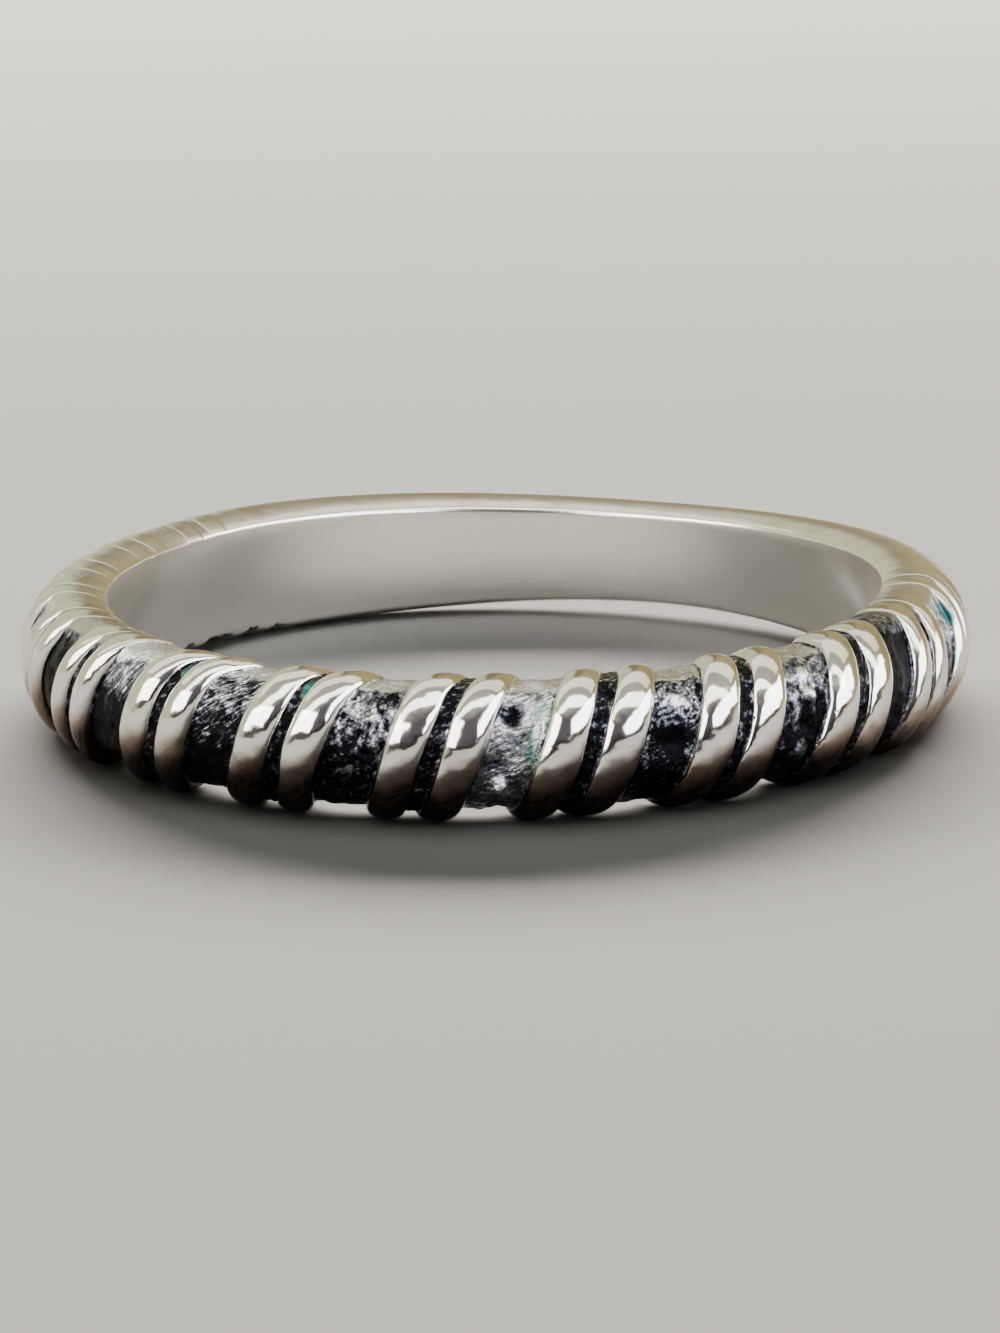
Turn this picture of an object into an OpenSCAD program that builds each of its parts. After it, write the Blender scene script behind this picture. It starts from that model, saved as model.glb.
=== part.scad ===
// Cast stacking ring with a twisted front: a half-round band whose front is cut
// into leaning ribs in pairs, with wide sunk channels between the pairs.
// It lies on its side, bore axis along +Z, with the middle of the twisted front at -Y.

/* [Ring size] */
// Inside diameter where the finger goes
bore_d = 17.3; // [15:0.1:21]
// Thickness of the band at the ribs
band_t = 2.0; // [1.8:0.02:2.4]
// Height of the band at the ribs, along the finger
band_h = 3.08; // [2.4:0.02:4.4]
// Thickness of the plain shank in the middle of the back
shank_t = 1.6; // [1.4:0.02:2.4]
// Height of the plain shank in the middle of the back
shank_h = 2.5; // [2:0.02:4.4]

/* [Twisted front] */
// Depth of the narrow groove between the two ribs of a pair
groove_depth = 0.2; // [0.06:0.02:0.3]
// Angle that the narrow groove takes round the ring
groove_angle = 1.7; // [1:0.1:2.5]
// Angle that a rib gains round the ring for each quarter turn round the section
rib_lean = 3.6; // [0:0.2:8]
// Share of the depth that is left where a channel runs out at the bore
edge_share = 0.5; // [0.2:0.05:1]
// Share of the depth that is lost over the ring's upper edge at its sides and back
top_loss = 0.85; // [0:0.05:0.9]
// Angle and depth of the groove that ends the twisted front on each side
end_angle = 2.4; // [1:0.1:4]
end_depth = 0.12; // [0.06:0.02:0.2]

/* [Hidden] */
// One row for each pair of ribs:
// angle of its middle from the front, angle that it takes, depth of the channel after it
PAIRS = [
    [-133.6, 8.8, 0.16],
    [-119.3, 8.8, 0.16],
    [-105.0, 8.8, 0.18],
    [-91.0, 8.8, 0.20],
    [-76.3, 9.0, 0.26],
    [-60.8, 9.4, 0.28],
    [-43.6, 10.9, 0.28],
    [-25.8, 11.8, 0.28],
    [-7.4, 11.7, 0.28],
    [10.6, 12.1, 0.28],
    [28.7, 11.6, 0.28],
    [47.3, 11.8, 0.28],
    [63.4, 9.2, 0.24],
    [79.3, 8.8, end_depth],
];
MIDDLE = 0;
SPREAD = 1;
DEPTH = 2;

// The section is two half ellipses that meet on one centre line, as shares of its thickness
CENTRE_SHARE = 0.42;
OUTER_SHARE = 1 - CENTRE_SHARE;
INNER_SHARE = 0.78;

// Places across one rib, from edge to edge
RIB_PLACES = [-1, -0.75, -0.3, 0.3, 0.75, 1];

// Stations round the plain shank
SHANK_STEPS = 28;

// Angles round the section, from under the bore's lower edge over the outside to its upper edge
SECTION_STEP = 12;
SECTION_REACH = 126;
SECTION_ANGLES = concat([for (turn = [-SECTION_REACH:SECTION_STEP:SECTION_REACH]) turn], [180]);

bore_r = bore_d / 2;
last_pair = len(PAIRS) - 1;
front_start = PAIRS[0][MIDDLE] - PAIRS[0][SPREAD] / 2 - end_angle;
front_end = PAIRS[last_pair][MIDDLE] + PAIRS[last_pair][SPREAD] / 2 + end_angle;
shank_spread = 360 + front_start - front_end;

function clamp(value, low, high) = min(max(value, low), high);
function blend(start, end, share) = start + (end - start) * share;
function smooth(share) = share * share * (3 - 2 * share);

function left_edge(pair) = PAIRS[pair][MIDDLE] - PAIRS[pair][SPREAD] / 2;
function right_edge(pair) = PAIRS[pair][MIDDLE] + PAIRS[pair][SPREAD] / 2;
function depth_before(pair) = pair == 0 ? end_depth : PAIRS[pair - 1][DEPTH];
function depth_after(pair) = PAIRS[pair][DEPTH];

// One station is [angle round the ring, depth below the band's full section]
// A rib falls off on each side in a full, nearly flat-topped curve
function rib(middle, spread, depth_left, depth_right) = [
    for (place = RIB_PLACES)
        let (depth = place < 0 ? depth_left : depth_right)
        [middle + place * spread / 2, depth * pow(abs(place), 3)]
];

function pair_stations(pair) =
    let (
        spread = (PAIRS[pair][SPREAD] - groove_angle) / 2,
        offset = (spread + groove_angle) / 2
    )
    concat(
        rib(PAIRS[pair][MIDDLE] - offset, spread, depth_before(pair), groove_depth),
        rib(PAIRS[pair][MIDDLE] + offset, spread, groove_depth, depth_after(pair))
    );

// The middle of the channel between two pairs, none after the last pair
function channel_stations(pair) =
    pair == last_pair ? [] : [[(right_edge(pair) + left_edge(pair + 1)) / 2, depth_after(pair)]];

front_stations = [
    for (pair = [0:last_pair])
        for (station = concat(pair_stations(pair), channel_stations(pair)))
            station
];
shank_stations = [
    for (step = [0:SHANK_STEPS])
        [front_end + shank_spread * step / SHANK_STEPS, 0]
];
stations = concat(front_stations, shank_stations);

// Share of the way from the twisted front to the middle of the back, 1 at the middle
function shank_share(angle) =
    angle <= front_end ? 0 : smooth(1 - abs(2 * (angle - front_end) / shank_spread - 1));

// Channels keep their full depth over the outside and run out towards the bore. From the
// ring's sides on they also run out over its upper edge, which is smooth there.
function run_out(angle, start, spread) = smooth(clamp((angle - start) / spread, 0, 1));
function depth_share(angle, turn) =
    blend(1, edge_share, run_out(abs(turn), 90, 35))
    * (1 - top_loss * run_out(abs(angle), 42, 20) * run_out(turn, 48, 30));

// Lean of the ribs at an angle round the section, none on the closing line inside the bore
function lean_at(turn) = turn == 180 ? 0 : rib_lean * turn / 90;

// Point of the surface at a station and an angle round the section
function surface_point(station, turn) =
    let (
        share = shank_share(station[0]),
        t = blend(band_t, shank_t, share),
        h = blend(band_h, shank_h, share),
        depth = station[1] * depth_share(station[0], turn),
        reach = abs(turn) < 90 ? OUTER_SHARE * t - depth : INNER_SHARE * t,
        r = bore_r + CENTRE_SHARE * t + reach * cos(turn),
        angle = station[0] + lean_at(turn)
    )
    [r * sin(angle), -r * cos(angle), (h / 2 - depth) * sin(turn)];

// Closed ring of sections, still solid some way inside the bore
module twisted_ring() {
    sections = len(stations);
    sides = len(SECTION_ANGLES);
    points = [
        for (station = stations)
            for (turn = SECTION_ANGLES)
                surface_point(station, turn)
    ];
    faces = [
        for (section = [0:sections - 1])
            for (side = [0:sides - 1])
                let (
                    here = section * sides,
                    next = ((section + 1) % sections) * sides,
                    up = (side + 1) % sides
                )
                for (face = [
                    [here + side, here + up, next + up],
                    [here + side, next + up, next + side]
                ])
                    face
    ];
    polyhedron(points = points, faces = faces);
}

module band() {
    color("silver")
        translate([0, 0, band_h / 2])
            difference() {
                twisted_ring();
                cylinder(r = bore_r, h = 2 * band_h, center = true, $fn = 180);
            }
}

band();
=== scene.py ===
import math

import bpy
import numpy as np
from mathutils import Matrix, Vector


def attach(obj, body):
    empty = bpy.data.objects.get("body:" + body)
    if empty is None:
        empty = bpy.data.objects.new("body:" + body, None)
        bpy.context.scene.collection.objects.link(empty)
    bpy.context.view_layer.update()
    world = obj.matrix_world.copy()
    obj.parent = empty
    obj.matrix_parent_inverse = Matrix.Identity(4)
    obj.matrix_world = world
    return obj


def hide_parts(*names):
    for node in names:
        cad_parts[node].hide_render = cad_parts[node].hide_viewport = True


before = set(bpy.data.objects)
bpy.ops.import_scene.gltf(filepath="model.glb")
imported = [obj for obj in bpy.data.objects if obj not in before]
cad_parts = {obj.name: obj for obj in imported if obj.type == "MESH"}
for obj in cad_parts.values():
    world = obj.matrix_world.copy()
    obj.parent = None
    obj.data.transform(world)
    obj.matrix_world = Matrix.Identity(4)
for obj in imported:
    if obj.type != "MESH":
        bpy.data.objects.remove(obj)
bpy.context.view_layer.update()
mm = 0.001

# The ring lies on its side, bore axis up, with the middle of its twisted front at -Y.
# Lengths are in millimetres and angles in degrees.
ring = dict(
    boreRadius=8.65,
    thickness=2.0,
    height=3.08,
    backThickness=1.6,
    backHeight=2.5,
    centreShare=0.42,  # where the section's two half ellipses meet, as a share of the thickness
    innerShare=0.78,
    ribLean=3.6,  # angle gained round the ring for each quarter turn round the section
    grooveAngle=1.7,
    grooveDepth=0.2,
    endAngle=2.4,
    endDepth=0.12,
    edgeShare=0.5,  # share of a channel's depth that is left at the bore
    topLoss=0.85,  # share of the depth that is lost over the upper edge at the sides and back
    boreEdge=0.1,  # softened edge of the bore
    polishLoss=0.012,  # what polishing takes off the ribs' crests
    # One row for each pair of ribs: angle of its middle, angle that it takes, depth of the
    # channel after it
    pairs=[
        (-133.6, 8.8, 0.16),
        (-119.3, 8.8, 0.16),
        (-105.0, 8.8, 0.18),
        (-91.0, 8.8, 0.20),
        (-76.3, 9.0, 0.26),
        (-60.8, 9.4, 0.28),
        (-43.6, 10.9, 0.28),
        (-25.8, 11.8, 0.28),
        (-7.4, 11.7, 0.28),
        (10.6, 12.1, 0.28),
        (28.7, 11.6, 0.28),
        (47.3, 11.8, 0.28),
        (63.4, 9.2, 0.24),
        (79.3, 8.8, 0.12),
    ],
    # Floor of the channel after each pair: how bare its metal is low down and high up, where 0
    # and less is black and 1 is bright, how uneven that is, then tilt, length and width of the
    # strokes in it
    floors=[
        (0.70, 0.85, 0.3, 70, 0.80, 0.10),
        (0.70, 0.85, 0.3, 70, 0.80, 0.10),
        (0.60, 0.80, 0.4, 70, 0.80, 0.10),
        (0.40, 0.70, 0.5, 70, 0.80, 0.10),
        (-0.50, -0.40, 0.8, 60, 0.40, 0.10),
        (-0.30, 0.50, 1.0, 62, 0.60, 0.07),
        (-0.25, 0.50, 1.2, 40, 0.45, 0.06),
        (-0.02, 0.48, 1.0, 65, 0.22, 0.14),
        (0.60, 0.86, 0.6, 25, 0.30, 0.09),
        (-0.10, 0.47, 1.0, 50, 0.14, 0.10),
        (-0.02, 0.53, 0.8, 60, 0.30, 0.18),
        (-0.50, -0.40, 0.8, 60, 0.30, 0.10),
        (0.30, 0.95, 0.5, 70, 0.50, 0.10),
        (0.20, 0.40, 0.7, 60, 0.30, 0.10),
    ],
    # Hollows, lumps and worn places on the channel floors: angle round the ring, angle round
    # the section, reach along the ring and round the section, depth, which is below nought for
    # a lump, and how much barer the metal is there
    marks=[
        (0.0, 44.0, 0.29, 0.38, 0.14, -0.85),
        (1.4, -28.0, 0.14, 0.22, -0.10, 0.7),
        (4.4, 16.0, 0.17, 0.75, -0.06, 0.6),
        (-0.6, -6.0, 0.20, 0.22, 0.02, -0.3),
        (19.6, 44.0, 0.27, 0.26, -0.05, 0.75),
        (17.0, 0.0, 0.10, 0.80, -0.05, 0.6),
        (20.4, 4.0, 0.24, 0.42, 0.10, -0.9),
        (22.6, 52.0, 0.10, 0.34, 0.04, -0.6),
        (22.7, -8.0, 0.13, 0.22, -0.06, 0.55),
        (38.2, 27.0, 0.16, 0.26, -0.12, 0.85),
        (37.4, 50.0, 0.20, 0.26, -0.07, 0.75),
        (36.4, 12.0, 0.12, 0.50, -0.04, 0.5),
        (40.9, 2.0, 0.17, 0.80, 0.10, -1.0),
        (38.8, -28.0, 0.20, 0.28, -0.06, 0.65),
        (57.9, -19.0, 0.14, 0.16, -0.08, 0.9),
        (-15.0, 62.0, 0.22, 0.22, 0.05, -0.6),
        (-18.6, 46.0, 0.16, 0.26, -0.03, 0.5),
        (-15.6, 37.0, 0.14, 0.18, -0.05, 0.55),
        (-14.6, 15.0, 0.13, 0.28, -0.05, 0.6),
        (-15.2, 2.0, 0.09, 0.10, 0.10, -1.0),
        (-16.6, -18.0, 0.16, 0.22, -0.04, 0.4),
        (-33.0, 60.0, 0.18, 0.20, 0.03, -0.35),
        (-35.6, 6.0, 0.16, 0.12, -0.05, 0.7),
        (-33.2, -4.0, 0.14, 0.16, -0.04, 0.6),
        (-51.6, 34.0, 0.14, 0.50, -0.04, 0.3),
        (-69.0, 10.0, 0.20, 0.40, 0.05, 0.0),
    ],
    # Tarnish: angle round the ring, angle round the section, reach along the ring and round
    # the section, and strength: 1 and more is blue-green, about 0.6 olive, and below 0 brown
    tarnish=[
        (-43.4, 70.0, 0.12, 0.40, 1.5),
        (-25.4, 66.0, 0.15, 0.46, 1.6),
        (74.2, 52.0, 0.20, 0.72, 1.25),
        (3.6, 44.0, 0.30, 0.60, 0.75),
        (3.7, 6.0, 0.22, 0.60, 0.95),
        (27.6, 66.0, 0.22, 0.22, -0.5),
        (46.0, 62.0, 0.30, 0.30, -0.4),
        (61.0, 50.0, 0.30, 0.50, -0.35),
    ],
    ribColumns=17,
    grooveColumns=6,
    channelColumns=25,
    shankColumns=72,
    outerRows=(12, 66, 12),  # under the ring, over its outside, and on its top
    outerTurn=75,  # where the rows of the outside end, up and down from its middle
    flatRadius=0.45,  # mean radius of the section, as a share of the height, to lay it flat with
    edgeRows=4,
    boreRows=6,
    wallReach=0.85,  # how far the bore's plain wall reaches to each side of the ring's middle
    seed=11,
    edgeWobble=0.2,  # degrees
    crestWobble=0.02,
    ribRoundness=2.15,  # 2 is a half ellipse across the rib, more is flatter on top
)

# Where the ring is worn, polished or black, and where shade is painted on its undersides. Angles
# are round the ring from its front, or round the section from the middle of its outside. Unless a
# comment says otherwise, a pair of numbers is where a soft change starts and how far it goes.
wear = dict(
    sides=(42, 20),  # where the floors and grooves start to run out on top
    topRunOut=(48, 30),
    boreRunOut=(90, 35),
    barer=(0, 45),  # up the section, where a floor goes from its lower bareness to its upper one
    polishedTop=(72, 14),
    polishedTopLower=22,  # how much lower that starts at the sides
    topFinish=20,  # how far the floors' dull finish takes to fade there
    topBare=0.9,
    topFinishLoss=0.85,
    grooveSides=(55, 25),  # where grooves get barer
    grooveBare=(-0.02, 0.3),  # how bare they are at the front and at the sides
    ribFoot=(0.72, 0.28),  # share of a rib's drop from which it is black
    endBare=0.3,
    endBlack=0.16,
    satinFrom=-5,
    satinSides=(55, 35),
    # Painted shade: a dark film on the ribs' undersides, most at the front, partly oxide and partly
    # painted dark reflection
    shadeFilmSides=(48, 60),
    shadeFilmStart=3,
    shadeFilmSlope=9,  # how much lower or higher it starts on a rib's two sides
    shadeFilmUneven=4,
    shadeFilmSpread=38,
    tarnishUneven=0.25,
    tarnishAll=0.22,  # faint noise of it over the whole ring
    tarnishLess=0.06,
    fineNoise=(0.3, 2),  # spacing in millimetres and octaves
    wideNoise=(0.9, 3),
    satinDimples=0.6,
    boreSatin=0.7,
    boreDimples=0.12,
)

# Relief of the floors: spacing of the coarsest noise, octaves, and height, in millimetres
castFloor = dict(spacing=0.42, octaves=3, height=0.055, sunk=0.015)
grooveFloor = dict(spacing=0.17, octaves=2, height=0.045)

rng = np.random.default_rng(ring["seed"])


def smoothStep(share):
    share = np.clip(share, 0, 1)
    return share * share * (3 - 2 * share)


# Soft step from 0 to 1: where it starts and how far it goes
def rise(value, start, spread):
    return smoothStep((value - start) / spread)


def blend(start, end, share):
    return start + (end - start) * share


# Noise between -1 and 1: random numbers on a lattice with the given spacing, joined by smooth steps
def latticeNoise(x, y, spacing, lattice):
    column = x / spacing
    row = y / spacing
    left = np.floor(column).astype(int)
    low = np.floor(row).astype(int)
    across = smoothStep(column - left)
    along = smoothStep(row - low)
    size = len(lattice)
    right = (left + 1) % size
    high = (low + 1) % size
    left = left % size
    low = low % size
    near = blend(lattice[left, low], lattice[right, low], across)
    far = blend(lattice[left, high], lattice[right, high], across)
    return blend(near, far, along)


# Sum of such noises, each with half the spacing and half the height of the one before
def roughNoise(x, y, spacing, octaves):
    total = np.zeros(np.broadcast(x, y).shape)
    for octave in range(octaves):
        lattice = rng.uniform(-1, 1, (64, 64))
        total += latticeNoise(x, y, spacing / 2**octave, lattice) / 2**octave
    return total


# Slow wave along each edge or crest: three sines of the angle round the section with random phases
def slowWaves(count, sectionAngle):
    phase = rng.uniform(0, 2 * math.pi, (count, 3, 1))
    size = rng.uniform(0.4, 1, (count, 3, 1)) / np.array([1, 1.6, 2.4])[None, :, None]
    speed = np.array([1.0, 2.6, 5.3])[None, :, None]
    turn = np.radians(sectionAngle)[None, None, :]
    return (size * np.sin(speed * turn + phase)).sum(axis=1)


# The columns of the grid in order round the ring. Each lies at a share of the way between two
# edges and has a kind: rib, groove, channel, end or shank.
def planColumns():
    edges, columns = [], []

    def addSpan(kind, count, depthLeft, depthRight, pair, spacing=None):
        shares = np.linspace(0, 1, count) if spacing is None else spacing
        for share in shares[:-1]:
            columns.append((len(edges) - 1, share, kind, depthLeft, depthRight, pair))

    pairs, half = ring["pairs"], ring["grooveAngle"] / 2
    ribShares = (1 + np.sin(np.linspace(-math.pi / 2, math.pi / 2, ring["ribColumns"]))) / 2
    depthBefore = ring["endDepth"]
    edges.append(pairs[0][0] - pairs[0][1] / 2 - ring["endAngle"])
    addSpan("end", ring["grooveColumns"], 0, depthBefore, 0)
    for pair, (middle, spread, depthAfter) in enumerate(pairs):
        edges.append(middle - spread / 2)
        addSpan("rib", ring["ribColumns"], depthBefore, ring["grooveDepth"], pair, ribShares)
        edges.append(middle - half)
        addSpan("groove", ring["grooveColumns"], ring["grooveDepth"], ring["grooveDepth"], pair)
        edges.append(middle + half)
        addSpan("rib", ring["ribColumns"], ring["grooveDepth"], depthAfter, pair, ribShares)
        edges.append(middle + spread / 2)
        if pair < len(pairs) - 1:
            addSpan("channel", ring["channelColumns"], depthAfter, depthAfter, pair)
        depthBefore = depthAfter
    addSpan("end", ring["grooveColumns"], depthBefore, 0, len(pairs) - 1)
    edges.append(pairs[-1][0] + pairs[-1][1] / 2 + ring["endAngle"])
    addSpan("shank", ring["shankColumns"], 0, 0, 0)
    edges.append(edges[0] + 360)
    return np.array(edges), columns


# Millimetres along the outside of the ring and round the section, for angles in degrees
def layFlat(angle, turn):
    outerRadius = ring["boreRadius"] + ring["thickness"]
    along = np.radians(angle + ring["ribLean"] * turn / 90) * outerRadius
    return along, np.radians(turn) * ring["flatRadius"] * ring["height"]


# Sum of oval marks: each is 1 in its middle and falls smoothly to 0 at 1.3 times its reach,
# times the value in the given place of its row
def addMarks(marks, value, along, up):
    total = np.zeros(along.shape)
    for mark in marks:
        angle, turn, reachAlong, reachUp = mark[:4]
        markAlong, markUp = layFlat(angle, turn)
        away = np.hypot((along - markAlong) / reachAlong, (up - markUp) / reachUp)
        total += mark[value] * smoothStep(1.3 - away)
    return total


# Surface of the ring. A point at the angle a round the ring and t round the section is at the
# radius bore + 0.42 thickness + reach cos t and the height (half height - depth) sin t, where
# reach is 0.58 thickness - depth outside and 0.78 thickness inside, and a is turned by the lean.
# A rib's depth is that of its side times 1 - (1 - place^n)^(1/n), place -1 to 1 across it. All
# depths fade by half towards the bore and, at the sides and back, almost away on top.
def workOutRing():
    edges, columns = planColumns()
    boreTurn = math.degrees(math.acos(-ring["centreShare"] / ring["innerShare"]))
    reachTurn = boreTurn - math.degrees(ring["boreEdge"] / (ring["height"] / 2))
    low, middle, high = ring["outerRows"]
    outerTurn = ring["outerTurn"]
    outer = np.concatenate([
        np.linspace(-reachTurn, -outerTurn, low)[:-1],
        np.linspace(-outerTurn, outerTurn, middle),
        np.linspace(outerTurn, reachTurn, high)[1:],
    ])
    edgeIndex, share, kind, depthLeft, depthRight, pair = (np.array(part) for part in zip(*columns))
    flatAngle = blend(edges[edgeIndex], edges[edgeIndex + 1], share)
    share, depthLeft, depthRight = share[:, None], depthLeft[:, None], depthRight[:, None]
    isRib, isGroove, isChannel, isEnd = (
        (kind == name)[:, None] for name in ("rib", "groove", "channel", "end")
    )

    wobble = slowWaves(len(edges), outer) * ring["edgeWobble"]
    wobble[0] = wobble[-1] = wobble[-2] = 0
    edgeLines = edges[:, None] + wobble
    angle = blend(edgeLines[edgeIndex], edgeLines[edgeIndex + 1], share)
    along, up = layFlat(angle, outer[None, :])

    # Depth below the full section
    place = np.abs(2 * share - 1)
    power = ring["ribRoundness"]
    ribDrop = 1 - (1 - place**power) ** (1 / power)
    crest = slowWaves(len(edges), outer)[edgeIndex] * ring["crestWobble"] * (1 - place**2)
    ribDepth = np.where(share < 0.5, depthLeft, depthRight) * ribDrop
    ribDepth = ribDepth + np.maximum(crest + ring["crestWobble"] / 2, 0)
    inward = np.sin(np.pi * share)
    betweenRibs = np.minimum(4 * inward, 1)  # marks stop short of the ribs
    floorDepth = blend(depthLeft, depthRight, share)
    rough = roughNoise(along, up, castFloor["spacing"], castFloor["octaves"])
    channelDepth = floorDepth + inward * (rough * castFloor["height"] + castFloor["sunk"])
    channelDepth = channelDepth + betweenRibs * addMarks(ring["marks"], 4, along, up)
    rough = roughNoise(along, up, grooveFloor["spacing"], grooveFloor["octaves"])
    grooveDepth = floorDepth + inward * rough * grooveFloor["height"]
    endDepth = blend(depthLeft, depthRight, smoothStep(share))
    depth = np.where(isRib, ribDepth, np.where(isChannel, channelDepth, 0.0))
    depth = np.where(isGroove, grooveDepth, np.where(isEnd, endDepth, depth))
    depth = np.maximum(depth, 0)

    # Where the black floors are, and how bare their metal is: least low down, and polished
    # again on top, from lower down at the sides than at the front
    floors = np.array(ring["floors"])[pair]
    bare = blend(floors[:, :1], floors[:, 1:2], rise(outer[None, :], *wear["barer"]))
    bare = bare + addMarks(ring["marks"], 5, along, up)
    fromFront = np.abs(flatAngle)[:, None]
    atSide = rise(fromFront, *wear["sides"])
    topStart = wear["polishedTop"][0] - wear["polishedTopLower"] * atSide
    onTop = wear["topBare"] * rise(outer[None, :], topStart, wear["polishedTop"][1])
    grooveBare = blend(*wear["grooveBare"], rise(fromFront, *wear["grooveSides"])) + onTop / 2
    bare = np.where(isChannel, bare + onTop, np.where(isGroove, grooveBare, wear["endBare"]))
    ribFloor = rise(ribDrop, *wear["ribFoot"])
    floor = np.where(isRib, ribFloor, np.where(isChannel | isGroove, 1.0, 0.0))
    floor = np.where(isEnd, wear["endBlack"] * inward, floor)
    topFinish = atSide * rise(outer[None, :], topStart, wear["topFinish"])
    floor = floor * (1 - wear["topFinishLoss"] * topFinish)
    uneven = np.where(isChannel, floors[:, 2:3], 1.0) * np.ones_like(depth)
    unevenHere = 1 + wear["tarnishUneven"] * roughNoise(along, up, *wear["fineNoise"])
    tarnish = addMarks(ring["tarnish"], 4, along, up) * unevenHere
    tarnish = tarnish + wear["tarnishAll"] * roughNoise(along, up, *wear["wideNoise"])
    tarnish = tarnish - wear["tarnishLess"]
    fromMiddle = np.abs(flatAngle - wear["satinFrom"])[:, None]
    satin = rise(fromMiddle, *wear["satinSides"]) * np.ones_like(depth)

    # Painted shade on the undersides: a dark film, partly oxide that the wheel doesn't reach and
    # partly painted dark reflection, most of it at the front. It starts lower on a rib's left side
    # than on its right one, like the slanted edge of that painted reflection.
    front = 1 - rise(fromFront, *wear["shadeFilmSides"])
    shadeFilmStart = wear["shadeFilmStart"] + wear["shadeFilmSlope"] * (2 * share - 1)
    shadeFilmStart = shadeFilmStart + wear["shadeFilmUneven"] * roughNoise(along, up, *wear["fineNoise"])
    shadeFilm = rise(shadeFilmStart, outer[None, :], wear["shadeFilmSpread"]) * front
    dimples = blend(1, wear["satinDimples"], satin)

    # Share of the way to the middle of the back, where the shank is thinnest
    start, end = edges[-2], edges[-1]
    backShare = 1 - np.abs(2 * (angle - start) / (end - start) - 1)
    backShare = np.where((kind == "shank")[:, None], smoothStep(backShare), 0)
    thickness = blend(ring["thickness"], ring["backThickness"], backShare)
    halfHeight = blend(ring["height"], ring["backHeight"], backShare) / 2

    turn = np.radians(outer)[None, :]
    fade = blend(1, ring["edgeShare"], rise(np.abs(outer), *wear["boreRunOut"]))[None, :]
    fade = fade * (1 - ring["topLoss"] * atSide * rise(outer[None, :], *wear["topRunOut"]))
    sideDepth = depth * fade
    outerReach = (1 - ring["centreShare"]) * thickness - sideDepth - ring["polishLoss"]
    reach = np.where(np.abs(outer)[None, :] < 90, outerReach, ring["innerShare"] * thickness)
    radius = ring["boreRadius"] + ring["centreShare"] * thickness + reach * np.cos(turn)
    height = (halfHeight - sideDepth) * np.sin(turn)

    # Soft edges of the bore, each a curve of second degree round the corner, and the wall
    # between them, downwards
    bore, soft = ring["boreRadius"], ring["boreEdge"]
    corner = (halfHeight - sideDepth)[:, [-1, 0]] * math.sin(math.radians(boreTurn))
    cornerTop, cornerLow = corner[:, :1], -corner[:, 1:]
    step = np.linspace(0, 1, ring["edgeRows"] + 1)[None, 1:]

    def softEdge(startRadius, startHeight, cornerHeight, wallHeight):
        radiusHere = (1 - step) ** 2 * startRadius + (1 - (1 - step) ** 2) * bore
        heightHere = (1 - step) ** 2 * startHeight + 2 * step * (1 - step) * cornerHeight
        return radiusHere, heightHere + step**2 * wallHeight

    topRadius, topHeight = softEdge(radius[:, -1:], height[:, -1:], cornerTop, cornerTop - soft)
    lowRadius, lowHeight = softEdge(radius[:, :1], height[:, :1], cornerLow, cornerLow + soft)
    wallStep = np.linspace(0, 1, ring["boreRows"])[None, :]
    wallHeight = blend(1, -1, wallStep) * ring["wallReach"] * np.ones_like(bore + cornerTop)
    radius = np.hstack([radius, topRadius, np.full_like(wallHeight, bore), lowRadius[:, ::-1]])
    height = np.hstack([height, topHeight, wallHeight, lowHeight[:, ::-1]])

    # The columns lean on the wall between the soft edges alone, so that they never fold over
    edgeRows = ring["edgeRows"]
    across = np.concatenate([np.zeros(edgeRows), wallStep[0], np.ones(edgeRows)])[None, :]
    endLean = ring["ribLean"] * reachTurn / 90
    lean = np.concatenate([ring["ribLean"] * outer / 90, blend(endLean, -endLean, across[0])])
    wallAngle = blend(angle[:, -1:], angle[:, :1], across)
    fullAngle = np.radians(np.hstack([angle, wallAngle]) + lean[None, :])
    x, y = radius * np.sin(fullAngle), -radius * np.cos(fullAngle)
    points = np.stack([x, y, height + ring["height"] / 2], axis=-1)

    # On the bore's wall the black ends within the soft edges, and nothing is tarnished
    wallRows = across.size
    edgeFade = np.concatenate([[0.6, 0.2], np.zeros(wallRows - 4), [0.2, 0.6]])[None, :]
    floor = np.hstack([floor, blend(floor[:, -1:], floor[:, :1], across) * edgeFade])
    bare = np.hstack([bare, blend(bare[:, -1:], bare[:, :1], across)])
    uneven = np.hstack([uneven, np.ones_like(wallAngle)])
    tarnish = np.hstack([tarnish, np.zeros((len(tarnish), wallRows))])
    satin = np.hstack([satin, np.full((len(satin), wallRows), wear["boreSatin"])])
    shadeFilm = np.hstack([shadeFilm, blend(shadeFilm[:, -1:], shadeFilm[:, :1], across) * edgeFade])
    dimples = np.hstack([dimples, np.full((len(dimples), wallRows), wear["boreDimples"])])
    sectionSteps = np.hypot(
        np.diff(radius[0], append=radius[0, 0]), np.diff(height[0], append=height[0, 0])
    )
    front = points[:, len(outer) // 2]
    frontSteps = np.linalg.norm(np.roll(front, -1, axis=0) - front, axis=1)
    flat = dict(
        along=np.append(0, np.cumsum(frontSteps)),
        lean=np.append(lean, lean[0]),
        round=np.append(0, np.cumsum(sectionSteps)),
        pair=pair,
    )
    attributes = dict(
        floor=floor,
        bare=bare,
        uneven=uneven,
        tarnish=tarnish,
        satin=satin,
        shadeFilm=shadeFilm,
        dimples=dimples,
    )
    return points * mm, attributes, flat


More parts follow.
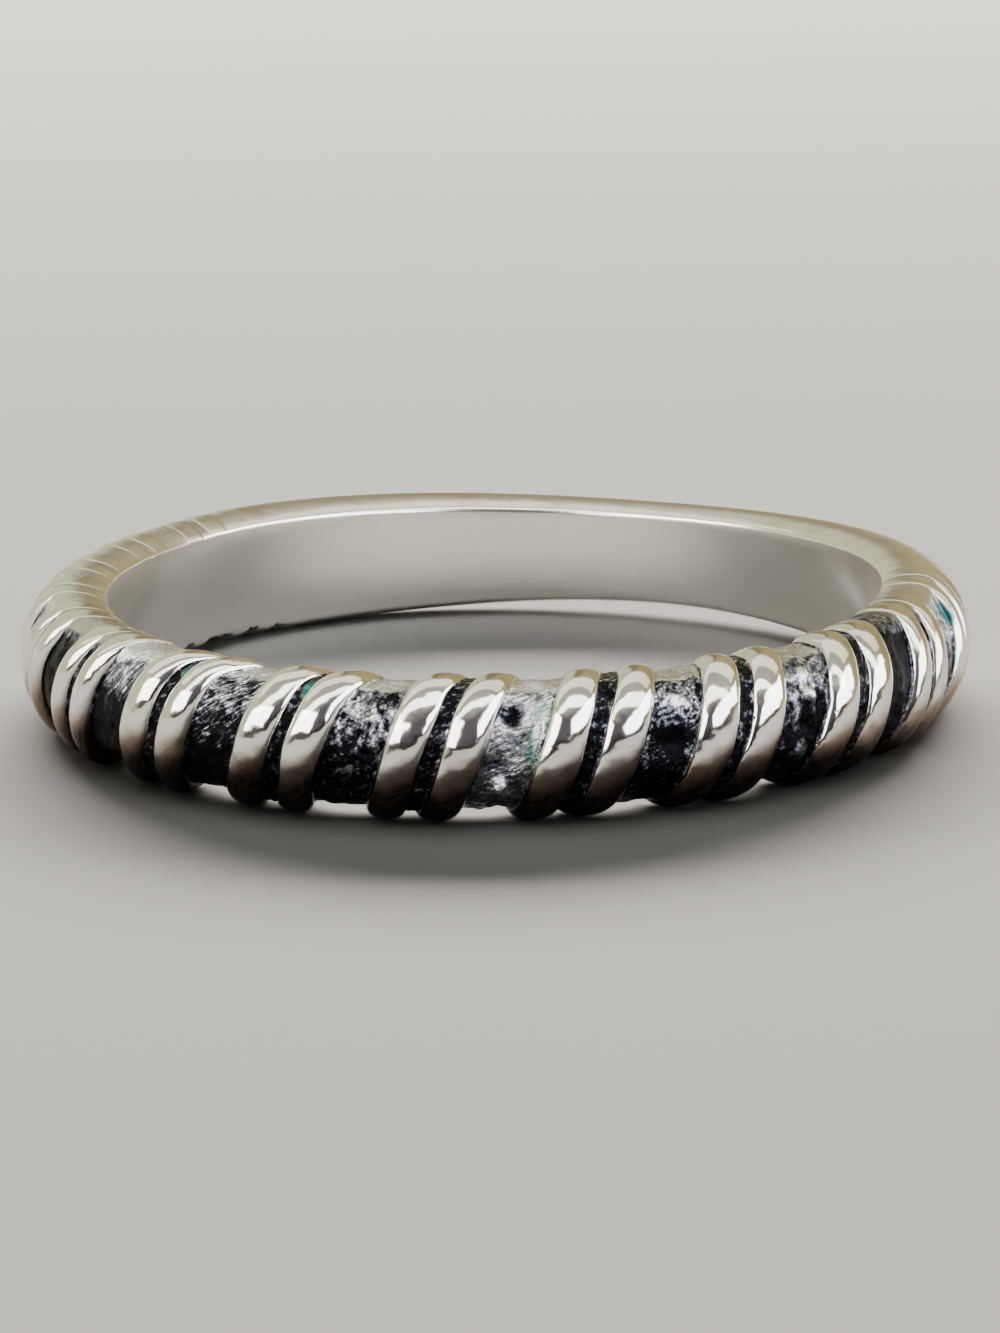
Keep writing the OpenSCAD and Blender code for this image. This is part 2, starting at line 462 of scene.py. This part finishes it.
# Two flat maps of the surface. The first is in millimetres along the ring and round the
# section. The second is in strokes: along and across the strokes of the channel after each pair.
def layOutMaps(flat):
    outerRadius = ring["boreRadius"] + ring["thickness"]
    along = flat["along"][:, None] + np.radians(flat["lean"])[None, :] * outerRadius
    up = np.broadcast_to(flat["round"][None, :], along.shape)

    def corners(grid):
        return np.stack([grid[:-1, :-1], grid[1:, :-1], grid[1:, 1:], grid[:-1, 1:]], axis=-1)

    along, up = corners(along), corners(up)
    floors = np.array(ring["floors"])[flat["pair"]][:, :, None, None]
    tilt, length, width = np.radians(floors[:, 3]), floors[:, 4], floors[:, 5]
    strokeAlong = (along * np.cos(tilt) + up * np.sin(tilt)) / length
    strokeAcross = (up * np.cos(tilt) - along * np.sin(tilt)) / width
    return {
        "laidFlat": np.stack([along, up], axis=-1),
        "strokes": np.stack([strokeAlong, strokeAcross], axis=-1),
    }


# A closed tube of quads from a grid of points: each joins its neighbours in both directions
def makeGridMesh(name, points, attributes, maps):
    mesh = bpy.data.meshes.new(name)
    index = np.arange(points.shape[0] * points.shape[1]).reshape(points.shape[:2])
    nextColumn = np.roll(index, -1, axis=0)
    quads = np.stack(
        [index, nextColumn, np.roll(nextColumn, -1, axis=1), np.roll(index, -1, axis=1)], axis=-1
    ).reshape(-1, 4)
    mesh.vertices.add(index.size)
    mesh.vertices.foreach_set("co", points.reshape(-1))
    mesh.loops.add(quads.size)
    mesh.loops.foreach_set("vertex_index", quads.reshape(-1))
    mesh.polygons.add(len(quads))
    mesh.polygons.foreach_set("loop_start", np.arange(0, quads.size, 4))
    mesh.polygons.foreach_set("use_smooth", np.ones(len(quads), dtype=bool))
    mesh.update(calc_edges=True)
    for mapName, values in maps.items():
        mesh.uv_layers.new(name=mapName).data.foreach_set("uv", values.reshape(-1))
    for attributeName, values in attributes.items():
        attribute = mesh.attributes.new(attributeName, "FLOAT", "POINT")
        attribute.data.foreach_set("value", values.reshape(-1))
    piece = bpy.data.objects.new(name, mesh)
    bpy.context.scene.collection.objects.link(piece)
    return piece


# sRGB hex to linear colour
def fromHex(code):
    values = np.array([int(code[place : place + 2], 16) for place in (1, 3, 5)]) / 255
    linear = np.where(values <= 0.04045, values / 12.92, ((values + 0.055) / 1.055) ** 2.4)
    return (*linear.tolist(), 1.0)


# Adds one node. An input is a value or another node's output socket, output picks the socket to
# return instead of the node, and a setting is an attribute of the node.
def addNode(tree, kind, inputs=None, output=None, **settings):
    node = tree.nodes.new("ShaderNode" + kind)
    for name, value in settings.items():
        setattr(node, name, value)
    for name, value in (inputs or {}).items():
        if isinstance(value, bpy.types.NodeSocket):
            tree.links.new(value, node.inputs[name])
        else:
            node.inputs[name].default_value = value
    return node if output is None else node.outputs[output]


# Sterling silver, cast, blackened in an oxide bath, then polished where a wheel reaches. That
# gives mirror crests with soft dimples and a few pinholes, and near-black rough floors where
# strokes and grains of dull or bright metal catch the light.
silver = dict(
    polished="#F4F1EA",
    brownTarnish="#8F735C",
    oliveTarnish="#7A9160",
    blueTarnish="#317476",
    pinhole="#5A544F",
    shadeFilmEdge="#8A6C58",  # brown edge of the underside film: partly sulphide, which turns silver brown before black, and partly painted brown reflection
    # painted shade: the dark underside film, partly oxide and partly painted dark reflection
    shadeFilm="#332A26",
    oxide="#0D0D0F",
    oxideBlue="#17171E",
    bareDull="#63646D",
    bareBright="#E4E5EA",
    dimple=0.42,  # spacing of the soft dimples that hand polishing leaves, in millimetres
    dimpleDepth=0.028,
    ripple=0.15,
    rippleDepth=0.001,
    hairline=0.04,  # width of a polishing line, drawn twice as wide as the real one so it shows
    hairlineTurn=math.radians(12),
    hairlineDepth=0.0003,
    pinholeSpacing=0.45,
    pinholeDepth=0.01,
    grain=0.09,  # grain of the cast floors
    grainDepth=0.03,
    cluster=0.3,  # spacing of the clusters of bare strokes
)


def makeSilver():
    material = bpy.data.materials.new("cast sterling silver, polished over black oxide")
    material.use_nodes = True
    tree = material.node_tree
    tree.nodes.clear()
    place = addNode(tree, "TexCoord", output="Object")
    flat = addNode(tree, "UVMap", output="UV", uv_map="laidFlat")
    strokes = addNode(tree, "UVMap", output="UV", uv_map="strokes")
    floor, bare, uneven, tarnish, satin, shadeFilm, dimples = (
        addNode(tree, "Attribute", output="Fac", attribute_name=name)
        for name in ("floor", "bare", "uneven", "tarnish", "satin", "shadeFilm", "dimples")
    )

    # Noises: where each lies, how many of its lumps go to a unit, octaves and their roughness
    lines = {"Rotation": (0, 0, silver["hairlineTurn"]), "Scale": (1 / silver["hairline"], 0.8, 1)}
    lineMap = addNode(tree, "Mapping", {"Vector": flat, **lines}, "Vector")
    stroke, hairline, cluster, grain, dimple, ripple = (
        addNode(
            tree, "TexNoise",
            {"Vector": vector, "Scale": scale, "Detail": octaves, "Roughness": rough}, "Fac",
            noise_dimensions="3D" if vector is place else "2D",
        )
        for vector, scale, octaves, rough in (
            (strokes, 1.0, 3.0, 0.65),
            (lineMap, 1.0, 1.0, 0.5),
            (place, 1 / (silver["cluster"] * mm), 4.0, 0.65),
            (place, 1 / (silver["grain"] * mm), 2.0, 0.6),
            (place, 1 / (silver["dimple"] * mm), 1.0, 0.4),
            (place, 1 / (silver["ripple"] * mm), 1.0, 0.4),
        )
    )

    # Tone of the floor: how bare it is, plus noise of strokes, clusters and grains, each weighed
    # and less its mean of a half
    weighed = ((stroke, 2.2), (cluster, 1.8), (grain, 1.1))
    tone = -sum(weight for noise, weight in weighed) / 2
    for noise, weight in weighed:
        tone = addNode(tree, "Math", {0: noise, 1: weight, 2: tone}, 0, operation="MULTIPLY_ADD")
    tone = addNode(tree, "Math", {0: tone, 1: uneven, 2: bare}, 0, operation="MULTIPLY_ADD")

    # Pinholes are small dots in the middle of some cells
    cells = {"Vector": place, "Scale": 1 / (silver["pinholeSpacing"] * mm)}
    pinCell = addNode(tree, "TexVoronoi", cells)
    pinTone = addNode(tree, "SeparateColor", {"Color": pinCell.outputs["Color"]}, "Red")

    # Thickness of the underside film of oxide and painted shade, with strokes where it is rubbed
    # thinner
    rubbed = {"Value": stroke, "From Min": 0.35, "From Max": 0.75, "To Min": 1.0, "To Max": 0.8}
    rubbed = addNode(tree, "MapRange", rubbed, "Result")
    thickness = addNode(tree, "Math", {0: shadeFilm, 1: rubbed}, 0, operation="MULTIPLY")

    # Shares of each finish: a value, the two ends of the range that it is read in, and what those
    # ends become
    shares = {}
    for name, value, start, end, low, high in (
        ("onFloor", floor, 0.04, 0.3, 0.0, 1.0),
        ("dull", tone, 0.1, 0.6, 0.0, 1.0),
        ("bright", tone, 0.55, 1.1, 0.0, 1.0),
        ("blueness", cluster, 0.42, 0.62, 0.0, 1.0),
        ("brown", tarnish, -0.1, -1.0, 0.0, 0.85),
        ("patina", tarnish, 0.25, 1.2, 0.0, 0.95),
        ("oldPatina", tarnish, 0.5, 1.0, 0.0, 1.0),
        ("shadeFilmEdge", thickness, 0.0, 0.35, 0.0, 0.8),
        ("shadeFilm", thickness, 0.4, 1.0, 0.0, 1.0),
        ("pinDot", pinCell.outputs["Distance"], 0.03, 0.09, 1.0, 0.0),
        ("pinSome", pinTone, 0.74, 0.76, 0.0, 1.0),
        ("pinFront", satin, 0.0, 0.3, 1.0, 0.0),
        ("crestRough", satin, 0.0, 1.0, 0.11, 0.26),
        ("floorRough", tone, 0.0, 1.0, 0.45, 0.22),
    ):
        ends = {"Value": value, "From Min": start, "From Max": end, "To Min": low, "To Max": high}
        curve = "SMOOTHSTEP" if name in ("onFloor", "dull", "bright") else "LINEAR"
        shares[name] = addNode(tree, "MapRange", ends, "Result", interpolation_type=curve)
    pinhole = shares["pinFront"]
    for name in ("pinDot", "pinSome"):
        pinhole = addNode(tree, "Math", {0: pinhole, 1: shares[name]}, 0, operation="MULTIPLY")

    # Colours: each is laid over those before it by its share
    crest, below, patina = (fromHex(silver[name]) for name in ("polished", "oxide", "oliveTarnish"))
    for share, over in (
        (shares["brown"], "brownTarnish"),
        (pinhole, "pinhole"),
        # painted shade: the underside film, brown at its edge, then dark
        (shares["shadeFilmEdge"], "shadeFilmEdge"),
        (shares["shadeFilm"], "shadeFilm"),
    ):
        layers = {0: share, 6: crest, 7: fromHex(silver[over])}
        crest = addNode(tree, "Mix", layers, 2, data_type="RGBA")
    for name, over in (("blueness", "oxideBlue"), ("dull", "bareDull"), ("bright", "bareBright")):
        layers = {0: shares[name], 6: below, 7: fromHex(silver[over])}
        below = addNode(tree, "Mix", layers, 2, data_type="RGBA")
    layers = {0: shares["oldPatina"], 6: patina, 7: fromHex(silver["blueTarnish"])}
    patina = addNode(tree, "Mix", layers, 2, data_type="RGBA")
    colour = crest
    for name, over in (("onFloor", below), ("patina", patina)):
        colour = addNode(tree, "Mix", {0: shares[name], 6: colour, 7: over}, 2, data_type="RGBA")

    # Roughness: mirror crests at the front, satin at the sides and back, dull oxide
    roughs = {0: shares["onFloor"], 2: shares["crestRough"], 3: shares["floorRough"]}
    roughness = addNode(tree, "Mix", roughs, 0, data_type="FLOAT")

    # Relief, from coarse to fine: its height, its depth in millimetres and where it shows
    normal = None
    for height, depth, strength in (
        (dimple, silver["dimpleDepth"], dimples),
        (ripple, silver["rippleDepth"], dimples),
        (hairline, silver["hairlineDepth"], 1.0),
        (pinhole, -silver["pinholeDepth"], 1.0),
        (stroke, silver["grainDepth"], shares["onFloor"]),
        (grain, silver["grainDepth"], shares["onFloor"]),
    ):
        inputs = {"Height": height, "Distance": abs(depth) * mm, "Strength": strength}
        if normal is not None:
            inputs["Normal"] = normal
        normal = addNode(tree, "Bump", inputs, "Normal", invert=depth < 0)

    finish = {"Base Color": colour, "Roughness": roughness, "Metallic": 1.0, "Normal": normal}
    shader = addNode(tree, "BsdfPrincipled", finish, "BSDF")
    addNode(tree, "OutputMaterial", {"Surface": shader})
    return material


def makeRing():
    points, attributes, flat = workOutRing()
    piece = makeGridMesh("castRing", points, attributes, layOutMaps(flat))
    piece.data.materials.append(makeSilver())
    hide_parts("band")
    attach(piece, "root")
    print("ring:", len(piece.data.vertices), "points,", len(piece.data.polygons), "faces")


ringCentre = Vector((0, 0, ring["height"] / 2 * mm))

# Camera where the photo was taken from: distance in metres, angles in degrees, and where the
# ring's centre falls in the 1000 by 1333 frame
view = dict(
    distance=0.10147,
    elevation=13.69,
    roll=1.10,
    focalPixels=4508.0,
    frameWidth=1000,
    frameHeight=1333,
    centreAcross=495.4,
    centreDown=637.4,
    sensor=36.0,
)


def makeCamera():
    elevation = math.radians(view["elevation"])
    forward = Vector((0, math.cos(elevation), -math.sin(elevation)))
    right = Vector((1, 0, 0))
    up = right.cross(forward)
    place = ringCentre - forward * view["distance"]

    # The ring's centre lies off the frame's middle, so the camera is turned by as much
    offAcross = (view["centreAcross"] - view["frameWidth"] / 2) / view["focalPixels"]
    offDown = (view["centreDown"] - view["frameHeight"] / 2) / view["focalPixels"]
    forward = (forward - right * offAcross + up * offDown).normalized()
    right = (right - forward * right.dot(forward)).normalized()
    up = right.cross(forward)
    roll = math.radians(view["roll"])
    rolledRight = right * math.cos(roll) - up * math.sin(roll)
    rolledUp = up * math.cos(roll) + right * math.sin(roll)

    data = bpy.data.cameras.new("camera")
    data.sensor_width = view["sensor"]
    data.lens = view["focalPixels"] * view["sensor"] / view["frameHeight"]
    data.clip_start = 0.01
    data.clip_end = 10
    camera = bpy.data.objects.new("camera", data)
    turned = Matrix((rolledRight, rolledUp, -forward)).transposed().to_4x4()
    camera.matrix_world = Matrix.Translation(place) @ turned
    bpy.context.scene.collection.objects.link(camera)
    bpy.context.scene.camera = camera
    print("camera:", [round(value, 4) for value in place])


# Plain pale floor, soft boxes and a soft room. A box is its azimuth from the camera's side to
# the right, its elevation, the degrees that it spans across and up, its brightness as a mirror
# shows it, where 1 is white, its colour, and what it is for: reflections in the metal or light
# on the floor.
studio = dict(
    floor="#94938F",
    floorRadius=0.9,
    floorSides=96,
    boxDistance=0.5,
    boxes=[
        (62, 23, 80, 28, 7.0, "#F6F9FF", "reflections"),
        (-57, 23, 54, 27, 7.0, "#FFFDF8", "reflections"),
        (0, 62, 110, 22, 4.0, "#F8F8F0", "reflections"),
        (180, 68, 100, 34, 1.2, "#F0ECD0", "reflections"),
        (178, 28, 60, 20, 58.0, "#FFFAF4", "floor"),
        (0, 85, 60, 60, 0.8, "#FFFFFF", "floor"),
    ],
    frontLow="#1C1715",
    frontMiddle="#454246",
    leftBack="#A6A78D",
    middleBack="#635B43",
    rightBack="#857A57",
    top="#8A8A82",
    roomBrightness=2.0,
)


def makeStudio():
    turn = np.linspace(0, 2 * math.pi, studio["floorSides"], endpoint=False)
    rim = studio["floorRadius"] * np.stack([np.cos(turn), np.sin(turn), 0 * turn], axis=-1)
    mesh = bpy.data.meshes.new("floor")
    mesh.from_pydata(rim.tolist(), [], [list(range(len(rim)))])
    floor = bpy.data.objects.new("floor", mesh)
    bpy.context.scene.collection.objects.link(floor)
    material = bpy.data.materials.new("matt painted floor")
    material.use_nodes = True
    tree = material.node_tree
    tree.nodes.clear()
    paint = {"Base Color": fromHex(studio["floor"]), "Roughness": 0.9, "Specular IOR Level": 0.1}
    shader = addNode(tree, "BsdfPrincipled", paint, "BSDF")
    addNode(tree, "OutputMaterial", {"Surface": shader})
    mesh.materials.append(material)

    for number, box in enumerate(studio["boxes"]):
        azimuth, elevation, across, up, brightness, colour, use = box
        side, above = math.radians(azimuth), math.radians(elevation)
        towards = Vector((
            math.sin(side) * math.cos(above), -math.cos(side) * math.cos(above), math.sin(above)
        ))
        light = bpy.data.lights.new(f"softBox{number}", "AREA")
        light.shape = "RECTANGLE"
        light.size = 2 * studio["boxDistance"] * math.tan(math.radians(across / 2))
        light.size_y = 2 * studio["boxDistance"] * math.tan(math.radians(up / 2))
        light.energy = brightness * math.pi * light.size * light.size_y
        light.color = fromHex(colour)[:3]
        lamp = bpy.data.objects.new(f"softBox{number}", light)
        lamp.location = ringCentre + towards * studio["boxDistance"]
        lamp.rotation_euler = (-towards).to_track_quat("-Z", "Y").to_euler()
        lamp.visible_camera = False
        lamp.visible_diffuse = use == "floor"
        lamp.visible_glossy = use == "reflections"
        bpy.context.scene.collection.objects.link(lamp)

    # The room: dark low in front, grey above that, cream at the left of the back, olive in its
    # middle, tan at its right, and pale above
    world = bpy.data.worlds.new("soft room")
    world.use_nodes = True
    tree = world.node_tree
    tree.nodes.clear()
    direction = addNode(tree, "TexCoord", output="Generated")
    parts = addNode(tree, "SeparateXYZ", {"Vector": direction})
    names = ("frontLow", "frontMiddle", "leftBack", "middleBack", "rightBack", "top")
    tones = {name: fromHex(studio[name]) for name in names}
    for name, under, over, axis, start, end in (
        ("back", "leftBack", "middleBack", "X", -0.1, -0.02),
        ("back", "back", "rightBack", "X", -0.03, 0.13),
        ("room", "frontLow", "frontMiddle", "Z", 0.03, 0.3),
        ("room", "room", "back", "Y", -0.45, 0.1),
        ("room", "room", "top", "Z", 0.55, 0.8),
    ):
        ends = {"Value": parts.outputs[axis], "From Min": start, "From Max": end}
        share = addNode(tree, "MapRange", ends, "Result", interpolation_type="SMOOTHSTEP")
        layers = {0: share, 6: tones[under], 7: tones[over]}
        tones[name] = addNode(tree, "Mix", layers, 2, data_type="RGBA")
    light = {"Color": tones["room"], "Strength": studio["roomBrightness"]}
    background = addNode(tree, "Background", light, "Background")
    addNode(tree, "OutputWorld", {"Surface": background})
    world.cycles_visibility.diffuse = False
    bpy.context.scene.world = world
    print("studio:", len(studio["boxes"]), "soft boxes")


makeCamera()
makeStudio()
makeRing()
